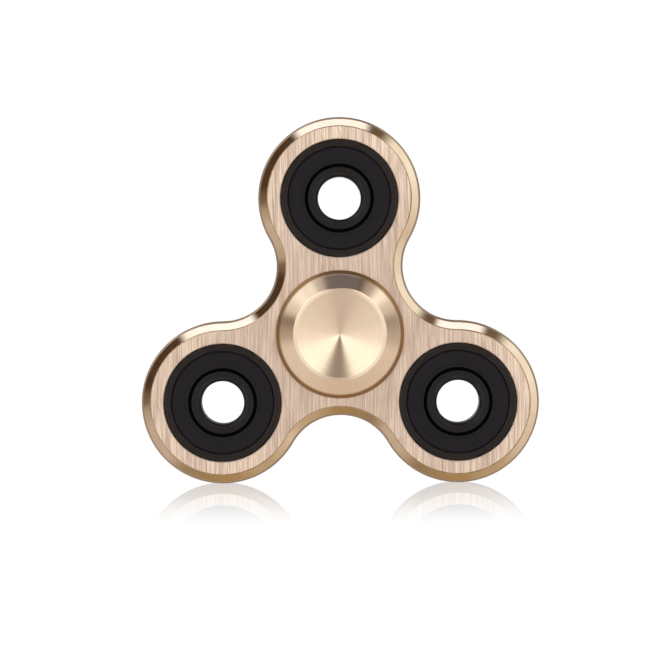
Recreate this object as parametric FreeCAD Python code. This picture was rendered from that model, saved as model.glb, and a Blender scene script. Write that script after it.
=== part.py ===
"""Three-lobe fidget spinner: a machined plate with four ball bearings and two screwed finger caps.

Millimetres. The spin axis is Y and the front faces -Y. +Z is up through the top lobe. The origin is on the
spin axis, halfway through the plate. Every separate piece of the object is one solid in one file.
"""

import FreeCAD, Part
import math
import os

# ---- driving dimensions ----

# The plate
ARM_REACH = 25.3  # spin axis to the axis of each lobe
LOBE_RADIUS = 15.1  # outside of each lobe
BODY_THICKNESS = 8.0
EDGE_BEVEL = 1.7  # polished 45 degree bevel round both faces
BEVEL_TOP_ROUNDING = 0.3  # softens the corner where the bevel meets the face
BEVEL_FOOT_ROUNDING = 1.3  # softens the corner where the bevel meets the side wall
HOLE_BREAK = 0.15  # edge break of the four holes
LOBE_DIRECTIONS = {"top": 90.0, "left": 210.0, "right": 330.0}  # degrees, seen from the front

# The ball bearings: size 608, 8 mm bore, 22 mm outside and 7 mm wide
BORE_RADIUS = 4.0
BEARING_RADIUS = 11.0
BEARING_WIDTH = 7.0
BALL_COUNT = 7
BALL_RADIUS = 3.969 / 2  # 5/32 inch
PITCH_RADIUS = 7.5  # axis to ball centre
RUNNING_GAP = 0.04  # between a ball and everything that it rolls on or in

INNER_LAND_RADIUS = 6.1  # outside of the inner ring, beside its raceway
SHOULDER_RADIUS = 5.85  # outside of the inner ring, at its face
SHOULDER_DEPTH = 1.15  # from the face of the ring to the land
OUTER_LAND_RADIUS = 8.95  # inside of the outer ring, beside its raceway
OUTER_CORNER = 0.4  # roundings of the rings' corners
BORE_CORNER = 0.6
SHOULDER_CORNER = 0.15
SEAT_CORNER = 0.2

SEAT_RADIUS = 9.65  # mouth of the outer ring, which the cover closes
SEAT_DEPTH = 1.3
SEAT_GROOVE_RADIUS = 9.95  # groove that the cover's rim snaps into, and so the rim's radius too
SEAT_GROOVE_DEPTHS = (0.5, 1.1)  # from the face of the ring to the two sides of the groove

SEAL_INNER_RADIUS = 6.35
SEAL_LIP_RADIUS = 6.0  # smaller than the inner ring's land, so that nothing passes straight in
SEAL_LIP_DEPTH = 0.65  # from the face of the ring to the top of the lip
SEAL_FACE_RADIUS = 9.45
SEAL_RECESS = 0.15  # the seal's face lies this far below the ring's face
SEAL_THICKNESS = 0.8
SEAL_RIM_DEPTHS = (0.55, 1.05)
SEAL_STEP_RADIUS = 7.0  # the seal's face, inside this, is a little lower
SEAL_STEP = 0.06
SEAL_EDGE_BREAK = 0.12

SHIELD_INNER_RADIUS = 6.15
SHIELD_RECESS = 0.35
SHIELD_THICKNESS = 0.3

CAGE_RADII = (6.55, 8.45)
CAGE_BASE = 2.4  # the closed side of the cage, from the middle of the bearing
CAGE_MOUTH = 1.3  # the open side, which the balls snap in through
POCKET_GAP = 0.05

# The two caps
CAP_RIM_RADIUS = 11.9  # the rim hangs over the plate all round the hub hole
CAP_LAND_RADIUS = 8.65  # outside of the narrow flat ring round the finger dish
CAP_DISH_RADIUS = 8.0
CAP_DISH_DEPTH = 0.7  # the dish is a shallow cone, deepest at its centre
CAP_CENTRE_RADIUS = 0.22  # the small flat that the turning tool leaves at the centre
CAP_RISE = 3.8  # flat ring above the plate's face
CAP_RIM_RISE = 1.35  # where the cone meets the rim's wall, before rounding, above the plate's face
CAP_RIM_ROUNDING = 2.1  # leaves a short upright wall below it
CAP_LAND_ROUNDING = 0.25
CAP_GAP = 0.2  # underside of the rim above the plate's face
COLLAR_RADIUS = 5.5  # stands on the inner ring only
SPIGOT_CLEARANCE = 0.01  # sliding fit in the bearing's bore
SPIGOT_END_GAP = 0.05  # each spigot stops this far short of the middle
SCREW_RADIUS = 2.5  # M5 screw between the caps
SCREW_LENGTH = 3.0  # from the middle of the spinner
SCREW_RUN_OUT = 0.4  # spare depth past the screw's end
SCREW_LEAD_IN = 0.4

# ---- worked out ----

HALF_BODY = BODY_THICKNESS / 2
HALF_BEARING = BEARING_WIDTH / 2
WAIST_RADIUS = ARM_REACH - LOBE_RADIUS  # each waist arc runs straight into both lobes beside it
AXIS = FreeCAD.Vector(0, 1, 0)
ORIGIN = FreeCAD.Vector(0, 0, 0)
FOLDER = "parts"


# ---- helpers ----


def polar(radius, degrees, y=0.0):
    """A point at this distance and direction from the spin axis, seen from the front."""
    angle = math.radians(degrees)
    return FreeCAD.Vector(radius * math.cos(angle), y, radius * math.sin(angle))


def turned(profile):
    """A solid of revolution about the spin axis from (radius, y) corners."""
    corners = [FreeCAD.Vector(radius, y, 0) for radius, y in profile]
    outline = Part.makePolygon(corners + corners[:1])
    return Part.Face(outline).revolve(ORIGIN, AXIS, 360)


def cylinder(radius, start, end):
    """A round bar about the spin axis between two heights."""
    return Part.makeCylinder(radius, end - start, FreeCAD.Vector(0, start, 0), AXIS)


def circle_edges(shape, radius, y):
    """The round edges about the spin axis with this radius and height."""
    found = []
    for edge in shape.Edges:
        curve = edge.Curve
        if not isinstance(curve, Part.Circle):
            continue
        same_size = abs(curve.Radius - radius) < 1e-4
        same_place = (curve.Center - FreeCAD.Vector(0, y, 0)).Length < 1e-4
        if same_size and same_place:
            found.append(edge)
    return found


def mirrored(profile):
    """The back half of a profile whose front half is given, in the order that closes the outline."""
    return [(radius, -y) for radius, y in reversed(profile)]


def rounded(shape, radius, height, rounding):
    """Round the two corners of a ring that lie at this radius and this far to the front and the back."""
    corners = circle_edges(shape, radius, -height) + circle_edges(shape, radius, height)
    return shape.makeFillet(rounding, corners)


def facing_back(shape):
    """The same piece turned half round about Z, so that its front becomes its back."""
    turned_round = shape.copy()
    turned_round.rotate(ORIGIN, FreeCAD.Vector(0, 0, 1), 180)
    return turned_round


def save(shape, name, place=ORIGIN):
    """Write one piece, moved to its place, as one solid."""
    solid = shape.Solids[0].copy()
    solid.translate(place)
    solid.exportStep(os.path.join(FOLDER, name + ".step"))


# ---- the plate ----


def plate_outline():
    """Three lobe arcs joined by three waist arcs, all tangent, in the plane of the front face."""
    edges = []
    for direction in LOBE_DIRECTIONS.values():
        lobe = polar(ARM_REACH, direction, -HALF_BODY)
        waist = polar(ARM_REACH, direction + 60, -HALF_BODY)
        waist_before = polar(ARM_REACH, direction - 60, -HALF_BODY)
        start = lobe + (waist_before - lobe).normalize() * LOBE_RADIUS
        tip = polar(ARM_REACH + LOBE_RADIUS, direction, -HALF_BODY)
        end = lobe + (waist - lobe).normalize() * LOBE_RADIUS
        edges.append(Part.Arc(start, tip, end).toShape())

        next_lobe = polar(ARM_REACH, direction + 120, -HALF_BODY)
        waist_middle = polar(ARM_REACH - WAIST_RADIUS, direction + 60, -HALF_BODY)
        waist_end = next_lobe + (waist - next_lobe).normalize() * LOBE_RADIUS
        edges.append(Part.Arc(end, waist_middle, waist_end).toShape())
    return Part.Wire(edges)


def face_edges(shape, height):
    """Every edge that lies at this height along the spin axis."""
    found = []
    for edge in shape.Edges:
        box = edge.BoundBox
        if abs(box.YMin - height) < 1e-4 and abs(box.YMax - height) < 1e-4:
            found.append(edge)
    return found


def hole_cutter():
    """The space of one through hole with a 45 degree edge break at both faces."""
    past = 1.0  # the cutter runs this far past both faces
    wide = BEARING_RADIUS + HOLE_BREAK + past
    break_start = HALF_BODY - HOLE_BREAK
    return turned(
        [
            (0, -HALF_BODY - past),
            (wide, -HALF_BODY - past),
            (BEARING_RADIUS, -break_start),
            (BEARING_RADIUS, break_start),
            (wide, HALF_BODY + past),
            (0, HALF_BODY + past),
        ]
    )


def tri_lobe_body():
    """The machined plate with its bevelled edge and four holes."""
    plate = Part.Face(plate_outline()).extrude(AXIS * BODY_THICKNESS)
    plate = plate.makeChamfer(EDGE_BEVEL, face_edges(plate, -HALF_BODY) + face_edges(plate, HALF_BODY))
    bevel_foot = HALF_BODY - EDGE_BEVEL
    foot_edges = face_edges(plate, -bevel_foot) + face_edges(plate, bevel_foot)
    plate = plate.makeFillet(BEVEL_FOOT_ROUNDING, foot_edges)
    top_edges = face_edges(plate, -HALF_BODY) + face_edges(plate, HALF_BODY)
    plate = plate.makeFillet(BEVEL_TOP_ROUNDING, top_edges)
    plate = plate.cut(hole_cutter())
    for direction in LOBE_DIRECTIONS.values():
        hole = hole_cutter()
        hole.translate(polar(ARM_REACH, direction))
        plate = plate.cut(hole)
    return plate


# ---- the ball bearing ----


def raceway():
    """The round channel that the balls run in, which both rings are cut by."""
    return Part.makeTorus(PITCH_RADIUS, BALL_RADIUS + RUNNING_GAP, ORIGIN, AXIS)


def inner_ring():
    """The ring with the bore, grooved outside for the balls and stepped down beside the covers."""
    front = [
        (BORE_RADIUS, -HALF_BEARING),
        (SHOULDER_RADIUS, -HALF_BEARING),
        (SHOULDER_RADIUS, -HALF_BEARING + SHOULDER_DEPTH),
        (INNER_LAND_RADIUS, -HALF_BEARING + SHOULDER_DEPTH),
    ]
    ring = turned(front + mirrored(front))
    ring = rounded(ring, BORE_RADIUS, HALF_BEARING, BORE_CORNER)
    ring = rounded(ring, SHOULDER_RADIUS, HALF_BEARING, SHOULDER_CORNER)
    return ring.cut(raceway())


def outer_ring():
    """The ring that presses into the plate, with a snap seat for a cover at each side."""
    groove_top, groove_bottom = SEAT_GROOVE_DEPTHS
    front = [
        (BEARING_RADIUS, -HALF_BEARING),
        (SEAT_RADIUS, -HALF_BEARING),
        (SEAT_RADIUS, -HALF_BEARING + groove_top),
        (SEAT_GROOVE_RADIUS, -HALF_BEARING + groove_top),
        (SEAT_GROOVE_RADIUS, -HALF_BEARING + groove_bottom),
        (SEAT_RADIUS, -HALF_BEARING + groove_bottom),
        (SEAT_RADIUS, -HALF_BEARING + SEAT_DEPTH),
        (OUTER_LAND_RADIUS, -HALF_BEARING + SEAT_DEPTH),
    ]
    ring = turned(front + mirrored(front))
    ring = rounded(ring, BEARING_RADIUS, HALF_BEARING, OUTER_CORNER)
    ring = rounded(ring, SEAT_RADIUS, HALF_BEARING, SEAT_CORNER)
    return ring.cut(raceway())


def rubber_seal():
    """The moulded front seal: a flat face, a lip inside and a rim that snaps into the outer ring."""
    face = -HALF_BEARING + SEAL_RECESS
    back = face + SEAL_THICKNESS
    rim_top, rim_bottom = SEAL_RIM_DEPTHS
    lip_top = -HALF_BEARING + SEAL_LIP_DEPTH
    return turned(
        [
            (SEAL_INNER_RADIUS, face + SEAL_STEP + SEAL_EDGE_BREAK),
            (SEAL_INNER_RADIUS + SEAL_EDGE_BREAK, face + SEAL_STEP),
            (SEAL_STEP_RADIUS, face + SEAL_STEP),
            (SEAL_STEP_RADIUS + SEAL_STEP, face),
            (SEAL_FACE_RADIUS - SEAL_EDGE_BREAK, face),
            (SEAL_FACE_RADIUS, face + SEAL_EDGE_BREAK),
            (SEAL_FACE_RADIUS, -HALF_BEARING + rim_top),
            (SEAT_GROOVE_RADIUS, -HALF_BEARING + rim_top),
            (SEAT_GROOVE_RADIUS, -HALF_BEARING + rim_bottom),
            (SEAL_FACE_RADIUS, -HALF_BEARING + rim_bottom),
            (SEAL_FACE_RADIUS, back),
            (SEAL_LIP_RADIUS, back),
            (SEAL_LIP_RADIUS, lip_top),
            (SEAL_INNER_RADIUS, lip_top),
        ]
    )


def metal_shield():
    """The thin pressed front shield, dished from its face down to the rim that the outer ring holds."""
    face = -HALF_BEARING + SHIELD_RECESS
    rim_top = -HALF_BEARING + SEAL_RIM_DEPTHS[0]
    bend_start = SEAL_FACE_RADIUS - SHIELD_THICKNESS
    return turned(
        [
            (SHIELD_INNER_RADIUS, face),
            (bend_start, face),
            (SEAL_FACE_RADIUS, rim_top),
            (SEAT_GROOVE_RADIUS, rim_top),
            (SEAT_GROOVE_RADIUS, rim_top + SHIELD_THICKNESS),
            (SEAL_FACE_RADIUS, rim_top + SHIELD_THICKNESS),
            (bend_start, face + SHIELD_THICKNESS),
            (SHIELD_INNER_RADIUS, face + SHIELD_THICKNESS),
        ]
    )


def ball_place(number):
    """The centre of one ball, with the first at the top."""
    return polar(PITCH_RADIUS, 90 + number * 360 / BALL_COUNT)


def ball():
    """One ball, centred on the origin, with its poles along the bearing's axis."""
    return Part.makeSphere(BALL_RADIUS, ORIGIN, AXIS)


def cage():
    """A crown cage: a closed ring at the back with a pocket for each ball, open to the front."""
    inside, outside = CAGE_RADII
    crown = cylinder(outside, -CAGE_MOUTH, CAGE_BASE).cut(cylinder(inside, -CAGE_MOUTH, CAGE_BASE))
    for number in range(BALL_COUNT):
        pocket = Part.makeSphere(BALL_RADIUS + POCKET_GAP, ORIGIN, AXIS)
        pocket.translate(ball_place(number))
        crown = crown.cut(pocket)
    return crown


def bearing(name, place, front_cover, cover_name):
    """Save every piece of one bearing at its place."""
    save(outer_ring(), name + "_outer_ring", place)
    save(inner_ring(), name + "_inner_ring", place)
    save(cage(), name + "_cage", place)
    save(front_cover, name + "_front_" + cover_name, place)
    save(facing_back(front_cover), name + "_back_" + cover_name, place)
    for number in range(BALL_COUNT):
        save(ball(), f"{name}_ball_{number + 1}", place + ball_place(number))


# ---- the caps ----


def cap_blank():
    """The front cap without its screw or thread: finger pad, collar and spigot."""
    top = -HALF_BODY - CAP_RISE
    rim_top = -HALF_BODY - CAP_RIM_RISE
    underside = -HALF_BODY - CAP_GAP
    spigot_radius = BORE_RADIUS - SPIGOT_CLEARANCE
    cap = turned(
        [
            (0, top + CAP_DISH_DEPTH),
            (CAP_CENTRE_RADIUS, top + CAP_DISH_DEPTH),
            (CAP_DISH_RADIUS, top),
            (CAP_LAND_RADIUS, top),
            (CAP_RIM_RADIUS, rim_top),
            (CAP_RIM_RADIUS, underside),
            (COLLAR_RADIUS, underside),
            (COLLAR_RADIUS, -HALF_BEARING),
            (spigot_radius, -HALF_BEARING),
            (spigot_radius, -SPIGOT_END_GAP),
            (0, -SPIGOT_END_GAP),
        ]
    )
    cap = cap.makeFillet(CAP_LAND_ROUNDING, circle_edges(cap, CAP_LAND_RADIUS, top))
    return cap.makeFillet(CAP_RIM_ROUNDING, circle_edges(cap, CAP_RIM_RADIUS, rim_top))


def front_cap():
    """The front cap, with the blind hole that takes the back cap's screw."""
    deepest = -SCREW_LENGTH - SCREW_RUN_OUT
    mouth = -SPIGOT_END_GAP
    threaded_hole = turned(
        [
            (0, deepest - SCREW_RADIUS / 2),
            (SCREW_RADIUS, deepest),
            (SCREW_RADIUS, mouth - SCREW_LEAD_IN),
            (SCREW_RADIUS + SCREW_LEAD_IN, mouth),
            (0, mouth),
        ]
    )
    return cap_blank().cut(threaded_hole)


def back_cap():
    """The back cap, with the screw that stands on the end of its spigot."""
    root = SPIGOT_END_GAP
    screw = turned(
        [
            (0, -SCREW_LENGTH),
            (SCREW_RADIUS - SCREW_LEAD_IN, -SCREW_LENGTH),
            (SCREW_RADIUS, -SCREW_LENGTH + SCREW_LEAD_IN),
            (SCREW_RADIUS, root),
            (0, root),
        ]
    )
    return facing_back(cap_blank()).fuse(screw).removeSplitter()


# ---- the whole spinner ----


def main():
    os.makedirs(FOLDER, exist_ok=True)
    save(tri_lobe_body(), "tri_lobe_body")
    save(front_cap(), "front_cap")
    save(back_cap(), "back_cap")
    bearing("hub_bearing", ORIGIN, metal_shield(), "shield")
    for side, direction in LOBE_DIRECTIONS.items():
        bearing(side + "_bearing", polar(ARM_REACH, direction), rubber_seal(), "seal")


main()
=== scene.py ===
"""Looks of the three-lobe fidget spinner: materials, studio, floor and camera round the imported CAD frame.

Metres. The spin axis is Y and the front faces -Y. +Z is up through the top lobe.
"""

import math

import bpy
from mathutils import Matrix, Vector


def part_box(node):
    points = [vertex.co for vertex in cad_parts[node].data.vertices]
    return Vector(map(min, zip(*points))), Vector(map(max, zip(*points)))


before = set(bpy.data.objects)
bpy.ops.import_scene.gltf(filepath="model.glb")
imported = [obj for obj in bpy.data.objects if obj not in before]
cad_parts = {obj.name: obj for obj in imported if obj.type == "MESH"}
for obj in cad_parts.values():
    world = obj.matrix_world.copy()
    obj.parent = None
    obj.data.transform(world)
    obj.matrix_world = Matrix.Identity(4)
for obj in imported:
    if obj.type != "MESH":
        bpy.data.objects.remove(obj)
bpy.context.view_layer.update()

MM = 0.001
LOBES = ("top", "left", "right")
BEARINGS = ("hub", *LOBES)
SIDES = ("front", "back")
BALL_COUNT = 7

# ---- places, read from the frame ----

ring_boxes = {name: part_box(name + "_bearing_outer_ring") for name in BEARINGS}
centres = {name: (low + high) / 2 for name, (low, high) in ring_boxes.items()}
bearing_radius = (ring_boxes["hub"][1].x - ring_boxes["hub"][0].x) / 2
floor_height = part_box("tri_lobe_body")[0].z

# ---- radii from a bearing's axis where one finish gives way to the next ----

# The polygons that these two limits mark out as the groove are painted near black as shade.
SHOULDER_RADIUS = 5.83 * MM  # polygons of an inner ring further out than this lie in the groove
SEAL_FACE_START = 6.42 * MM  # and so do those of a seal further in than this
OUTER_RING_START = (9.0 * MM, 9.6 * MM)
# The three bands below carry painted highlights on the rounded edges of the black rings.
BORE_EDGE = (4.45 * MM, 4.75 * MM)  # the rounded edge of an inner ring's bore
OUTER_RING_MOUTH = (9.62 * MM, 9.86 * MM)  # the outer ring's inner edge, round the seal
OUTER_RING_RIM = (bearing_radius - 0.45 * MM, bearing_radius)
HOLE_FINISH_END = bearing_radius + 0.3 * MM  # the plate's holes and their broken edges end inside this
# Beyond this the caps' rims are painted dark brown: painted shade where they sit on the plate.
CAP_RIM_SHADE_START = (11.0 * MM, 11.4 * MM)
# Painted light: from the hub out to the lobes the brushed faces are painted paler, standing in for brighter
# light there.
LOBES_PAINTED_LIGHTER = (14.0 * MM, 30.0 * MM)  # from the hub to the lobes the faces get paler

# ---- the plate's finishes, in the order of its material slots ----
# A polygon's lean is how squarely it faces along the spin axis: 1 on the faces, 0.71 on the 45 degree
# bevels and 0 on the side wall. Each limit here is the least lean of its finish.

FACE_ZONE, CORNER_ZONE, BEVEL_ZONE, WALL_ZONE, HOLE_ZONE = range(5)
FACE_LEAN = 0.995
CORNER_LEAN = 0.77
BEVEL_LEAN = 0.66

# ---- colours, linear light ----

BRUSHED_GOLD = (0.90, 0.735, 0.61)
BRUSHED_GOLD_DARK = (0.48, 0.37, 0.305)
POLISHED_GOLD = (0.90, 0.755, 0.56)
POLISHED_GOLD_DARK = (0.82, 0.665, 0.47)
TURNED_GOLD = (0.89, 0.745, 0.595)
TURNED_GOLD_DARK = (0.78, 0.625, 0.475)
# painted shade: the dark brown of the caps' rims
RIM_SHADE_GOLD = (0.41, 0.245, 0.115)
# painted shade: the dark brown line along the corner between face and bevel
CORNER_SHADE_GOLD = (0.50, 0.35, 0.22)
CORNER_SHADE_GOLD_DARK = (0.36, 0.24, 0.14)
SIDE_GOLD = (0.72, 0.58, 0.46)
SIDE_GOLD_DARK = (0.54, 0.42, 0.32)
HOLE_GOLD = (0.97, 0.85, 0.76)
HOLE_GOLD_DARK = (0.84, 0.70, 0.60)
BLACK_STEEL = (0.0040, 0.0039, 0.0044)
# The two paler steels below give the rings' own ground marks and also the painted highlights on their
# rounded edges.
BLACK_STEEL_PALE_AND_HIGHLIGHT = (0.060, 0.047, 0.044)
BLACK_STEEL_INNER = (0.046, 0.044, 0.048)
BLACK_RUBBER = (0.0100, 0.0092, 0.0140)
BLACK_RUBBER_DUSTY = (0.022, 0.021, 0.029)
# painted shade: near black for the shaded groove between seal and inner ring
GROOVE_SHADE = (0.0030, 0.0026, 0.0028)
GROOVE_SHADE_DARK = (0.0015, 0.0013, 0.0014)
GROUND_STEEL = (0.58, 0.58, 0.60)
GROUND_STEEL_DARK = (0.42, 0.42, 0.43)
NYLON = (0.62, 0.57, 0.46)
NYLON_DARK = (0.50, 0.45, 0.34)


# ---- node graph helpers ----


class Graph:
    """A node tree with short calls for the nodes that the materials and the world share."""

    def __init__(self, tree):
        self.tree = tree
        tree.nodes.clear()

    def node(self, kind, **settings):
        made = self.tree.nodes.new(kind)
        for key, value in settings.items():
            setattr(made, key, value)
        return made

    def feed(self, socket, value):
        """Link an output to a socket, or set the socket's own value."""
        if isinstance(value, bpy.types.NodeSocket):
            self.tree.links.new(value, socket)
        elif isinstance(value, tuple) and len(value) == 3 and socket.type == "RGBA":
            socket.default_value = (*value, 1.0)
        else:
            socket.default_value = value

    def math(self, operation, first, second=0.0):
        made = self.node("ShaderNodeMath", operation=operation)
        for socket, value in zip(made.inputs, (first, second)):
            self.feed(socket, value)
        return made.outputs[0]

    def add(self, first, second):
        return self.math("ADD", first, second)

    def times(self, first, second):
        return self.math("MULTIPLY", first, second)

    def smooth(self, value, start, end, low=0.0, high=1.0):
        """A smooth step from low at start to high at end."""
        made = self.node("ShaderNodeMapRange", interpolation_type="SMOOTHSTEP")
        names = ("Value", "From Min", "From Max", "To Min", "To Max")
        for name, setting in zip(names, (value, start, end, low, high)):
            self.feed(made.inputs[name], setting)
        return made.outputs[0]

    def length(self, first, second):
        """The length of the line with these two parts."""
        return self.math("SQRT", self.add(self.times(first, first), self.times(second, second)))

    def window(self, value, span, soft):
        """One over the span, falling to nothing over soft outside it."""
        start, end = span
        rising = self.smooth(value, start - soft, start)
        falling = self.smooth(value, end, end + soft, 1.0, 0.0)
        return self.times(rising, falling)

    def mix(self, factor, first, second):
        made = self.node("ShaderNodeMix", data_type="RGBA")
        self.feed(made.inputs["Factor"], factor)
        self.feed(made.inputs[6], first)
        self.feed(made.inputs[7], second)
        return made.outputs[2]

    def mix_shaders(self, factor, first, second):
        """A mix of two shaders: the first at 0 and the second at 1."""
        made = self.node("ShaderNodeMixShader")
        for socket, value in zip(made.inputs, (factor, first, second)):
            self.feed(socket, value)
        return made.outputs[0]

    def ramp(self, value, stops):
        """A colour that eases from stop to stop; each stop is a value from 0 to 1 and a colour."""
        made = self.node("ShaderNodeValToRGB")
        self.feed(made.inputs[0], value)
        made.color_ramp.interpolation = "EASE"
        elements = made.color_ramp.elements
        while len(elements) < len(stops):
            elements.new(1.0)
        for element, (position, colour) in zip(elements, stops):
            element.position = position
            element.color = (*colour, 1.0)
        return made.outputs[0]

    def noise(self, vector, scale, detail=2.0, roughness=0.5):
        """Soft noise from 0 to 1; on a vector in metres, scale is in grains to the metre."""
        made = self.node("ShaderNodeTexNoise")
        names = ("Vector", "Scale", "Detail", "Roughness")
        for name, setting in zip(names, (vector, scale, detail, roughness)):
            self.feed(made.inputs[name], setting)
        return made.outputs["Fac"]

    def object_place(self, centre=(0.0, 0.0, 0.0)):
        """The point on the piece, in metres from centre."""
        coordinates = self.node("ShaderNodeTexCoord").outputs["Object"]
        moved = self.node("ShaderNodeVectorMath", operation="SUBTRACT")
        self.feed(moved.inputs[0], coordinates)
        self.feed(moved.inputs[1], tuple(centre))
        return moved.outputs[0]

    def stretched(self, vector, scale):
        """The vector with each part times its own scale, for noise drawn out where the scale is small."""
        made = self.node("ShaderNodeVectorMath", operation="MULTIPLY")
        self.feed(made.inputs[0], vector)
        self.feed(made.inputs[1], scale)
        return made.outputs[0]

    def parts(self, vector):
        """A vector's three parts."""
        made = self.node("ShaderNodeSeparateXYZ")
        self.feed(made.inputs[0], vector)
        return made.outputs

    def joined(self, x, y, z):
        """One vector from its three parts."""
        made = self.node("ShaderNodeCombineXYZ")
        for socket, value in zip(made.inputs, (x, y, z)):
            self.feed(socket, value)
        return made.outputs[0]

    def bump(self, height, distance, strength):
        made = self.node("ShaderNodeBump")
        self.feed(made.inputs["Height"], height)
        self.feed(made.inputs["Distance"], distance)
        self.feed(made.inputs["Strength"], strength)
        return made.outputs[0]

    def tangent(self, axis):
        """The direction round an axis, for brushed and turned metal."""
        return self.node("ShaderNodeTangent", direction_type="RADIAL", axis=axis).outputs[0]


def new_material(name):
    """An empty material with its graph."""
    material = bpy.data.materials.new(name)
    material.use_nodes = True
    return material, Graph(material.node_tree)


def finish_surface(graph, **inputs):
    """End a material in one Principled shader with these inputs."""
    shader = graph.node("ShaderNodeBsdfPrincipled")
    for name, value in inputs.items():
        graph.feed(shader.inputs[name.replace("_", " ")], value)
    output = graph.node("ShaderNodeOutputMaterial")
    graph.feed(output.inputs["Surface"], shader.outputs[0])


def axis_coordinates(graph, centre):
    """Radius from a bearing's axis, angle round it and place along it."""
    x, y, z = graph.parts(graph.object_place(centre))
    return graph.length(x, z), graph.math("ARCTAN2", z, x), y


def turning_marks(graph, radius, along):
    """Concentric tool marks: fine rings with a few broader ones, from 0 to 1."""
    reach = graph.add(radius, graph.times(along, 0.7))  # so that the marks go on up walls and cones
    fine = graph.noise(graph.joined(reach, 0.0, 0.0), 14000.0, 3.0, 0.7)
    broad = graph.noise(graph.joined(reach, 0.003, 0.0), 3600.0, 2.0, 0.5)
    return graph.add(graph.times(fine, 0.8), graph.times(broad, 0.2))


# ---- materials ----


def brushed_face_material():
    """Hairline-brushed faces: streaks up and down, a few slanted scratches, and painted light that makes
    the lobes paler than the hub.
    """
    material, graph = new_material("brushed_gold_face")
    place = graph.object_place()
    wander = graph.noise(graph.stretched(place, (45.0, 1.0, 20.0)), 1.0, 1.0)
    x, y, z = graph.parts(place)
    wavering = graph.joined(graph.add(x, graph.times(wander, 3.0 * MM)), y, z)
    hairlines = graph.noise(graph.stretched(wavering, (5600.0, 1.0, 130.0)), 1.0, 3.0, 0.6)
    streaks = graph.noise(graph.stretched(wavering, (2600.0, 1.0, 70.0)), 1.0, 3.0, 0.6)
    bands = graph.noise(graph.stretched(wavering, (420.0, 1.0, 25.0)), 1.0, 2.0)
    leaning = graph.joined(graph.add(x, graph.times(z, 0.34)), y, z)
    slanted = graph.noise(graph.stretched(leaning, (3000.0, 1.0, 120.0)), 1.0, 2.0)
    scratches = graph.smooth(slanted, 0.62, 0.74)
    both = graph.add(graph.times(hairlines, 0.5), graph.times(streaks, 0.5))
    tone = graph.times(graph.smooth(both, 0.385, 0.615), 0.8)
    tone = graph.add(tone, graph.times(graph.smooth(bands, 0.3, 0.7), 0.2))
    tone = graph.math("MAXIMUM", graph.math("SUBTRACT", tone, graph.times(scratches, 0.35)), 0.0)
    # painted light: the faces grow paler from the hub out to the lobes
    painted_lobe_light = graph.smooth(graph.length(x, z), *LOBES_PAINTED_LIGHTER, 0.76, 1.16)
    finish_surface(
        graph,
        Base_Color=graph.mix(graph.times(tone, painted_lobe_light), BRUSHED_GOLD_DARK, BRUSHED_GOLD),
        Metallic=1.0,
        Roughness=graph.smooth(both, 0.3, 0.7, 0.46, 0.36),
        Anisotropic=0.55,
        Tangent=graph.tangent("Z"),
        Normal=graph.bump(both, 0.012 * MM, 0.6),
    )
    return material


def polished_bevel_material():
    """Bright cut bevel round the plate, with faint cutter lines and smudges."""
    material, graph = new_material("polished_gold_bevel")
    place = graph.object_place()
    smudges = graph.noise(place, 220.0, 3.0)
    specks = graph.noise(graph.stretched(place, (1.0, 6.0, 1.0)), 900.0, 3.0, 0.6)
    finish_surface(
        graph,
        Base_Color=graph.mix(graph.smooth(smudges, 0.25, 0.7), POLISHED_GOLD_DARK, POLISHED_GOLD),
        Metallic=1.0,
        Roughness=graph.smooth(smudges, 0.3, 0.75, 0.07, 0.12),
        Normal=graph.bump(specks, 0.004 * MM, 0.05),
    )
    return material


def bevel_corner_material():
    """The narrow rounded corner between face and bevel, duller than either and painted dark brown as shade
    along the crease.
    """
    material, graph = new_material("corner_gold_painted_shade")
    place = graph.object_place()
    cloud = graph.noise(place, 600.0, 3.0)
    # painted shade: the corner's colour is a dark brown standing for shade along the crease
    finish_surface(
        graph,
        Base_Color=graph.mix(graph.smooth(cloud, 0.3, 0.7), CORNER_SHADE_GOLD_DARK, CORNER_SHADE_GOLD),
        Metallic=1.0,
        Roughness=graph.smooth(cloud, 0.3, 0.7, 0.42, 0.32),
        Normal=graph.bump(cloud, 0.006 * MM, 0.2),
    )
    return material


def side_wall_material():
    """Satin wall round the plate's edge, with fine milled lines along it."""
    material, graph = new_material("satin_gold_wall")
    place = graph.object_place()
    lines = graph.noise(graph.stretched(place, (40.0, 3800.0, 40.0)), 1.0, 3.0, 0.6)
    mottle = graph.noise(place, 300.0, 3.0)
    finish_surface(
        graph,
        Base_Color=graph.mix(graph.smooth(lines, 0.3, 0.7), SIDE_GOLD_DARK, SIDE_GOLD),
        Metallic=1.0,
        Roughness=graph.smooth(mottle, 0.3, 0.7, 0.30, 0.42),
        Anisotropic=0.4,
        Tangent=graph.joined(0.0, 1.0, 0.0),
        Normal=graph.bump(lines, 0.010 * MM, 0.4),
    )
    return material


def hole_material():
    """Bored holes of the plate and their bright cut edges."""
    material, graph = new_material("bored_gold_hole")
    place = graph.object_place()
    lines = graph.noise(graph.stretched(place, (60.0, 5200.0, 60.0)), 1.0, 3.0, 0.6)
    cloud = graph.noise(place, 300.0, 3.0)
    tone = graph.add(graph.times(lines, 0.5), graph.times(cloud, 0.5))
    finish_surface(
        graph,
        Base_Color=graph.mix(graph.smooth(tone, 0.3, 0.7), HOLE_GOLD_DARK, HOLE_GOLD),
        Metallic=1.0,
        Roughness=graph.smooth(lines, 0.3, 0.7, 0.58, 0.48),
        Normal=graph.bump(lines, 0.008 * MM, 0.3),
    )
    return material


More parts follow.
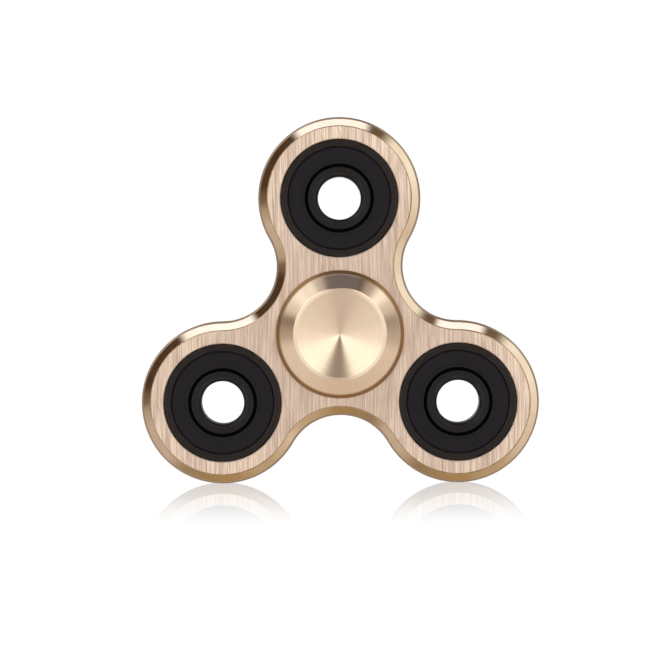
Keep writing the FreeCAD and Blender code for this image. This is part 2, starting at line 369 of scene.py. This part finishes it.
def turned_gold_material():
    """Spun faces of the caps, which draw every highlight out along the radius, and their duller rims,
    painted dark brown as shade where they sit on the plate.
    """
    material, graph = new_material("turned_gold_cap")
    radius, angle, along = axis_coordinates(graph, centres["hub"])
    marks = turning_marks(graph, radius, along)
    fans = graph.noise(graph.joined(graph.times(angle, 2.2), graph.times(radius, 60.0), 0.0), 1.0, 2.0)
    tone = graph.add(graph.times(graph.smooth(marks, 0.3, 0.7), 0.7), graph.times(fans, 0.3))
    # painted shade: the caps' rims go dark brown, standing for shade against the plate
    painted_light_rim = graph.smooth(radius, *CAP_RIM_SHADE_START)
    finish_surface(
        graph,
        Base_Color=graph.mix(painted_light_rim, graph.mix(tone, TURNED_GOLD_DARK, TURNED_GOLD), RIM_SHADE_GOLD),
        Metallic=1.0,
        Roughness=graph.add(graph.smooth(marks, 0.3, 0.7, 0.20, 0.17), graph.times(painted_light_rim, 0.18)),
        Anisotropic=0.97,
        Anisotropic_Rotation=0.25,
        Tangent=graph.tangent("Y"),
        Normal=graph.bump(marks, 0.002 * MM, 0.25),
    )
    return material


def black_steel_material(bearing):
    """Black oxide bearing steel, ground in rings, with painted highlights on its rounded edges, broken into
    patches by noise.
    """
    material, graph = new_material(bearing + "_black_steel")
    radius, _, along = axis_coordinates(graph, centres[bearing])
    marks = turning_marks(graph, radius, along)
    patches = graph.noise(graph.object_place(centres[bearing]), 420.0, 3.0)
    outer = graph.smooth(radius, *OUTER_RING_START)
    painted_light_rim = graph.window(radius, OUTER_RING_RIM, 0.12 * MM)
    mouth_highlight = graph.window(radius, OUTER_RING_MOUTH, 0.06 * MM)
    bore_edge_highlight = graph.window(radius, BORE_EDGE, 0.15 * MM)
    edges = graph.add(graph.add(painted_light_rim, mouth_highlight), bore_edge_highlight)
    # painted highlights on the rounded edges, in patches
    edge_highlights = graph.times(edges, graph.smooth(patches, 0.35, 0.7))
    tone = graph.add(graph.times(edge_highlights, 0.4), graph.times(graph.add(outer, 3.0), graph.times(marks, 0.15)))
    tone = graph.math("MINIMUM", tone, 1.0)
    pale_and_highlight_colour = graph.mix(outer, BLACK_STEEL_INNER, BLACK_STEEL_PALE_AND_HIGHLIGHT)
    finish_surface(
        graph,
        Base_Color=graph.mix(tone, BLACK_STEEL, pale_and_highlight_colour),
        Roughness=graph.smooth(marks, 0.3, 0.7, 0.42, 0.30),
        Specular_IOR_Level=0.18,
        Anisotropic=0.5,
        Anisotropic_Rotation=0.25,
        Tangent=graph.tangent("Y"),
        Normal=graph.bump(marks, 0.006 * MM, 0.3),
    )
    return material


def black_rubber_material(bearing):
    """Moulded black rubber seal: matte, slightly grained, with a trace of dust."""
    material, graph = new_material(bearing + "_black_rubber")
    place = graph.object_place(centres[bearing])
    grain = graph.noise(place, 5200.0, 3.0, 0.6)
    cloud = graph.noise(place, 260.0, 3.0)
    dust = graph.times(graph.smooth(cloud, 0.35, 0.8), graph.smooth(grain, 0.3, 0.7))
    finish_surface(
        graph,
        Base_Color=graph.mix(dust, BLACK_RUBBER, BLACK_RUBBER_DUSTY),
        Roughness=graph.smooth(cloud, 0.3, 0.7, 0.52, 0.64),
        Specular_IOR_Level=0.2,
        Normal=graph.bump(grain, 0.010 * MM, 0.35),
    )
    return material


def groove_shade_material():
    """The groove between seal and inner ring, painted near black as shade, with a faint grain."""
    material, graph = new_material("groove_painted_shade")
    place = graph.object_place()
    grain = graph.noise(place, 3000.0, 3.0, 0.6)
    finish_surface(
        graph,
        Base_Color=graph.mix(grain, GROOVE_SHADE_DARK, GROOVE_SHADE),
        Roughness=graph.smooth(grain, 0.3, 0.7, 0.85, 0.7),
        Specular_IOR_Level=0.03,
        Normal=graph.bump(grain, 0.010 * MM, 0.3),
    )
    return material


def ground_steel_material(name, bearing, roughness):
    """Bare ground or polished steel of the hidden bearing pieces."""
    material, graph = new_material(name)
    radius, _, along = axis_coordinates(graph, centres[bearing])
    marks = turning_marks(graph, radius, along)
    finish_surface(
        graph,
        Base_Color=graph.mix(graph.smooth(marks, 0.3, 0.7), GROUND_STEEL_DARK, GROUND_STEEL),
        Metallic=1.0,
        Roughness=graph.smooth(marks, 0.3, 0.7, roughness, roughness * 0.7),
        Normal=graph.bump(marks, 0.004 * MM, 0.25),
    )
    return material


def nylon_material():
    """Moulded nylon of the ball cages."""
    material, graph = new_material("cage_nylon")
    place = graph.object_place()
    cloud = graph.noise(place, 500.0, 3.0)
    grain = graph.noise(place, 5000.0, 3.0)
    finish_surface(
        graph,
        Base_Color=graph.mix(cloud, NYLON_DARK, NYLON),
        Roughness=graph.smooth(grain, 0.3, 0.7, 0.42, 0.55),
        Normal=graph.bump(grain, 0.008 * MM, 0.3),
    )
    return material


# ---- giving the pieces their materials ----


def give(node, *materials):
    """Replace a CAD node's materials."""
    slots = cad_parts[node].data.materials
    slots.clear()
    for material in materials:
        slots.append(material)


def radius_in(bearing, point):
    """How far a point is from this bearing's axis."""
    centre = centres[bearing]
    return math.hypot(point.x - centre.x, point.z - centre.z)


def hole_distance(point):
    """How far a point is from the nearest bearing's axis."""
    return min(radius_in(bearing, point) for bearing in BEARINGS)


def plate_zone(polygon):
    """Which finish a polygon of the plate has."""
    lean = abs(polygon.normal.y)
    if lean > FACE_LEAN:
        return FACE_ZONE
    if hole_distance(polygon.center) < HOLE_FINISH_END:
        return HOLE_ZONE
    if lean > CORNER_LEAN:
        return CORNER_ZONE
    if lean > BEVEL_LEAN:
        return BEVEL_ZONE
    return WALL_ZONE


def dress_plate():
    """Give each zone of the plate its finish."""
    face, corner, bevel = brushed_face_material(), bevel_corner_material(), polished_bevel_material()
    give("tri_lobe_body", face, corner, bevel, side_wall_material(), hole_material())
    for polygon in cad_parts["tri_lobe_body"].data.polygons:
        polygon.material_index = plate_zone(polygon)


def dress_lobe_bearing(name, groove):
    """Black rings and seals, with the groove between inner ring and seal painted near black as shade."""
    bearing = name + "_bearing_"
    rings = black_steel_material(name)
    rubber = black_rubber_material(name)
    give(bearing + "outer_ring", rings)
    give(bearing + "inner_ring", rings, groove)
    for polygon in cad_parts[bearing + "inner_ring"].data.polygons:
        polygon.material_index = int(radius_in(name, polygon.center) > SHOULDER_RADIUS)
    for side in SIDES:
        seal = f"{bearing}{side}_seal"
        give(seal, rubber, groove)
        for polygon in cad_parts[seal].data.polygons:
            polygon.material_index = int(radius_in(name, polygon.center) < SEAL_FACE_START)


def dress_hub_bearing():
    """Bare steel rings and shields under the caps."""
    give("hub_bearing_outer_ring", ground_steel_material("hub_outer_ring_steel", "hub", 0.3))
    give("hub_bearing_inner_ring", ground_steel_material("hub_inner_ring_steel", "hub", 0.3))
    shield = ground_steel_material("hub_shield_steel", "hub", 0.35)
    for side in SIDES:
        give(f"hub_bearing_{side}_shield", shield)


def dress_bearings():
    """Black lobe bearings, a steel hub bearing, and the cages and balls inside all four."""
    nylon = nylon_material()
    groove = groove_shade_material()
    for name in LOBES:
        dress_lobe_bearing(name, groove)
    dress_hub_bearing()
    for name in BEARINGS:
        give(name + "_bearing_cage", nylon)
        balls = ground_steel_material(name + "_ball_steel", name, 0.12)
        for number in range(BALL_COUNT):
            give(f"{name}_bearing_ball_{number + 1}", balls)


def dress_caps():
    """The same turned finish on both caps."""
    turned = turned_gold_material()
    for side in SIDES:
        give(side + "_cap", turned)


# ---- studio ----

VIEW_WIDTH = 125.2 * MM  # width of the view at the spinner
CAMERA_DISTANCE = 700.0 * MM
CAMERA_ELEVATION = 1.0  # degrees above level
CAMERA_TARGET = Vector((-0.87 * MM, 0.0, -0.21 * MM))
CAMERA_ROLL = 0.3  # degrees
SENSOR_MM = 36.0
WHITE = (1.015, 1.015, 1.015)
TABLE_COLOUR = (0.62, 0.56, 0.48)  # the light that the table throws back on the spinner
TABLE_RADIUS = 4.0
TABLE_CORNERS = 96
SHEEN_SPAN = (15.0 * MM, 130.0 * MM)  # how far from the spinner's middle the table's sheen fades
SHEEN = 0.57
SHEEN_SHARPNESS = 4.0  # how fast it goes as the table is seen from higher up

# ---- the room: three rings of light round the spin axis ----
# Each stop is a clock angle in degrees, seen from the front with 0 at the right and 90 at the top, and the
# light from there.

DIM_LEFT = (0.20, 0.15, 0.11)
DARK_SCREEN = (0.075, 0.043, 0.028)
SIDE_GAP = (0.17, 0.12, 0.085)
WHITE_BOX = (1.33, 1.35, 1.54)
BIG_WHITE_BOX = (1.72, 1.71, 1.60)
DARK_GAP = (0.03, 0.012, 0.0)
NEAR_DARK_GAP = (0.085, 0.05, 0.02)
WARM_TABLE = (0.42, 0.29, 0.155)

SIDE_RING = (
    (-180.0, DIM_LEFT),
    (-170.0, (0.50, 0.42, 0.37)),
    (-158.0, (0.61, 0.52, 0.48)),
    (-138.0, (0.60, 0.51, 0.46)),
    (-118.0, (0.34, 0.25, 0.165)),
    (-90.0, WARM_TABLE),
    (-60.0, (0.53, 0.43, 0.31)),
    (-30.0, (0.76, 0.66, 0.60)),
    (0.0, (0.93, 0.86, 0.80)),
    (16.0, (1.06, 1.07, 1.06)),
    (44.0, (1.04, 1.03, 1.01)),
    (58.0, SIDE_GAP),
    (64.0, SIDE_GAP),
    (72.0, WHITE_BOX),
    (119.0, WHITE_BOX),
    (128.0, DARK_SCREEN),
    (168.0, DARK_SCREEN),
    (180.0, DIM_LEFT),
)
FAR_FRONT_RING = (
    (-180.0, (0.52, 0.43, 0.36)),
    (-163.0, (0.92, 0.82, 0.75)),
    (-130.0, (0.93, 0.83, 0.75)),
    (-90.0, (0.84, 0.73, 0.63)),
    (-22.0, (0.88, 0.77, 0.68)),
    (-2.0, (0.50, 0.42, 0.37)),
    (13.0, (0.28, 0.22, 0.175)),
    (28.0, (0.72, 0.66, 0.59)),
    (43.0, (1.28, 1.26, 1.20)),
    (56.0, (0.55, 0.48, 0.42)),
    (70.0, DARK_GAP),
    (102.0, DARK_GAP),
    (113.0, (0.55, 0.48, 0.42)),
    (124.0, (1.18, 1.14, 1.08)),
    (137.0, (1.36, 1.34, 1.28)),
    (152.0, (1.0, 0.93, 0.86)),
    (166.0, (0.30, 0.24, 0.19)),
    (180.0, (0.52, 0.43, 0.36)),
)
NEAR_FRONT_RING = (
    (-180.0, (1.16, 1.09, 1.04)),
    (-150.0, (0.84, 0.77, 0.72)),
    (-120.0, (0.73, 0.65, 0.60)),
    (-90.0, (0.68, 0.60, 0.54)),
    (-60.0, (0.73, 0.65, 0.60)),
    (-30.0, (0.86, 0.79, 0.74)),
    (0.0, (1.18, 1.12, 1.07)),
    (24.0, BIG_WHITE_BOX),
    (54.0, BIG_WHITE_BOX),
    (76.0, NEAR_DARK_GAP),
    (95.0, NEAR_DARK_GAP),
    (114.0, BIG_WHITE_BOX),
    (154.0, BIG_WHITE_BOX),
    (180.0, (1.16, 1.09, 1.04)),
)
STRAIGHT_AHEAD = (0.98, 0.92, 0.87)
BACK_ROOM = (0.32, 0.27, 0.225)
BACK_ROOM_SHARE = 0.75

# Where one part of the room fades into the next, by how far a direction points along the spin axis: 0 is
# sideways and 1 is straight ahead or straight back.

SIDE_TO_FAR = (0.09, 0.15)
FAR_TO_NEAR = (0.52, 0.86)
NEAR_TO_AHEAD = (0.994, 0.999)
SIDE_TO_BACK = (0.09, 0.17)
BACK_TO_WALL = (0.982, 0.990)


def make_camera():
    """A long lens, almost level with the spinner."""
    data = bpy.data.cameras.new("camera")
    data.sensor_width = SENSOR_MM
    data.lens = SENSOR_MM * CAMERA_DISTANCE / VIEW_WIDTH
    data.clip_start = 0.01
    data.clip_end = 50.0
    camera = bpy.data.objects.new("camera", data)
    bpy.context.scene.collection.objects.link(camera)
    lift = math.radians(CAMERA_ELEVATION)
    toward = Vector((0.0, -math.cos(lift), math.sin(lift)))
    camera.location = CAMERA_TARGET + toward * CAMERA_DISTANCE
    camera.rotation_euler = (math.radians(90.0) - lift, math.radians(CAMERA_ROLL), 0.0)
    bpy.context.scene.camera = camera


def make_world():
    """Soft lights and screens in rings round the spin axis, and a white wall behind.

    The camera and the table's mirror sheen see the room as plain white.
    """
    world = bpy.data.worlds.new("studio")
    world.use_nodes = True
    bpy.context.scene.world = world
    graph = Graph(world.node_tree)
    direction = graph.node("ShaderNodeTexCoord").outputs["Generated"]
    x, y, z = graph.parts(direction)
    depth = graph.math("ABSOLUTE", y)
    turn = graph.add(graph.times(graph.math("ARCTAN2", z, x), 1.0 / math.tau), 0.5)

    def ring(stops):
        return graph.ramp(turn, [((clock + 180.0) / 360.0, colour) for clock, colour in stops])

    light = graph.mix(graph.smooth(depth, *SIDE_TO_FAR), ring(SIDE_RING), ring(FAR_FRONT_RING))
    light = graph.mix(graph.smooth(depth, *FAR_TO_NEAR), light, ring(NEAR_FRONT_RING))
    light = graph.mix(graph.smooth(depth, *NEAR_TO_AHEAD), light, STRAIGHT_AHEAD)
    light = graph.mix(graph.smooth(y, *SIDE_TO_BACK, 0.0, BACK_ROOM_SHARE), light, BACK_ROOM)
    light = graph.mix(graph.smooth(y, *BACK_TO_WALL), light, WHITE)
    studio = graph.node("ShaderNodeBackground")
    graph.feed(studio.inputs["Color"], light)
    backdrop = graph.node("ShaderNodeBackground")
    graph.feed(backdrop.inputs["Color"], WHITE)
    rays = graph.node("ShaderNodeLightPath").outputs
    plain = graph.math("MAXIMUM", rays["Is Camera Ray"], rays["Is Singular Ray"])
    output = graph.node("ShaderNodeOutputWorld")
    graph.feed(output.inputs["Surface"], graph.mix_shaders(plain, studio.outputs[0], backdrop.outputs[0]))


def floor_material():
    """White table with a mirror sheen round the spinner, stronger where it is seen more from the side."""
    material, graph = new_material("white_table")
    x, y, _ = graph.parts(graph.object_place())
    near = graph.smooth(graph.length(x, y), *SHEEN_SPAN, SHEEN, 0.0)
    facing = graph.node("ShaderNodeLayerWeight").outputs["Facing"]
    sheen = graph.times(near, graph.math("POWER", facing, SHEEN_SHARPNESS))
    seen = graph.node("ShaderNodeLightPath").outputs["Is Camera Ray"]
    plain = graph.node("ShaderNodeBsdfDiffuse")
    graph.feed(plain.inputs["Color"], TABLE_COLOUR)
    lit = graph.node("ShaderNodeEmission")
    graph.feed(lit.inputs["Color"], WHITE)
    mirror = graph.node("ShaderNodeBsdfGlossy")
    graph.feed(mirror.inputs["Color"], (1.0, 1.0, 1.0))
    graph.feed(mirror.inputs["Roughness"], 0.0)  # a perfect mirror, whose rays see the room as plain white
    white = graph.mix_shaders(sheen, lit.outputs[0], mirror.outputs[0])
    output = graph.node("ShaderNodeOutputMaterial")
    graph.feed(output.inputs["Surface"], graph.mix_shaders(seen, plain.outputs[0], white))
    return material


def make_floor():
    """A wide round table top under the two lower lobes."""
    points = [(0.0, 0.0, floor_height)]
    for step in range(TABLE_CORNERS):
        angle = math.tau * step / TABLE_CORNERS
        points.append((TABLE_RADIUS * math.cos(angle), TABLE_RADIUS * math.sin(angle), floor_height))
    faces = [(0, step + 1, (step + 1) % TABLE_CORNERS + 1) for step in range(TABLE_CORNERS)]
    mesh = bpy.data.meshes.new("table")
    mesh.from_pydata(points, [], faces)
    table = bpy.data.objects.new("table", mesh)
    bpy.context.scene.collection.objects.link(table)
    table.data.materials.append(floor_material())
    table.visible_glossy = False


def set_view():
    """Plain colour handling, so that the white room stays white."""
    view = bpy.context.scene.view_settings
    view.view_transform = "Standard"
    view.look = "None"
    view.exposure = 0.0
    view.gamma = 1.0


make_camera()
dress_plate()
dress_caps()
dress_bearings()
make_world()
make_floor()
set_view()
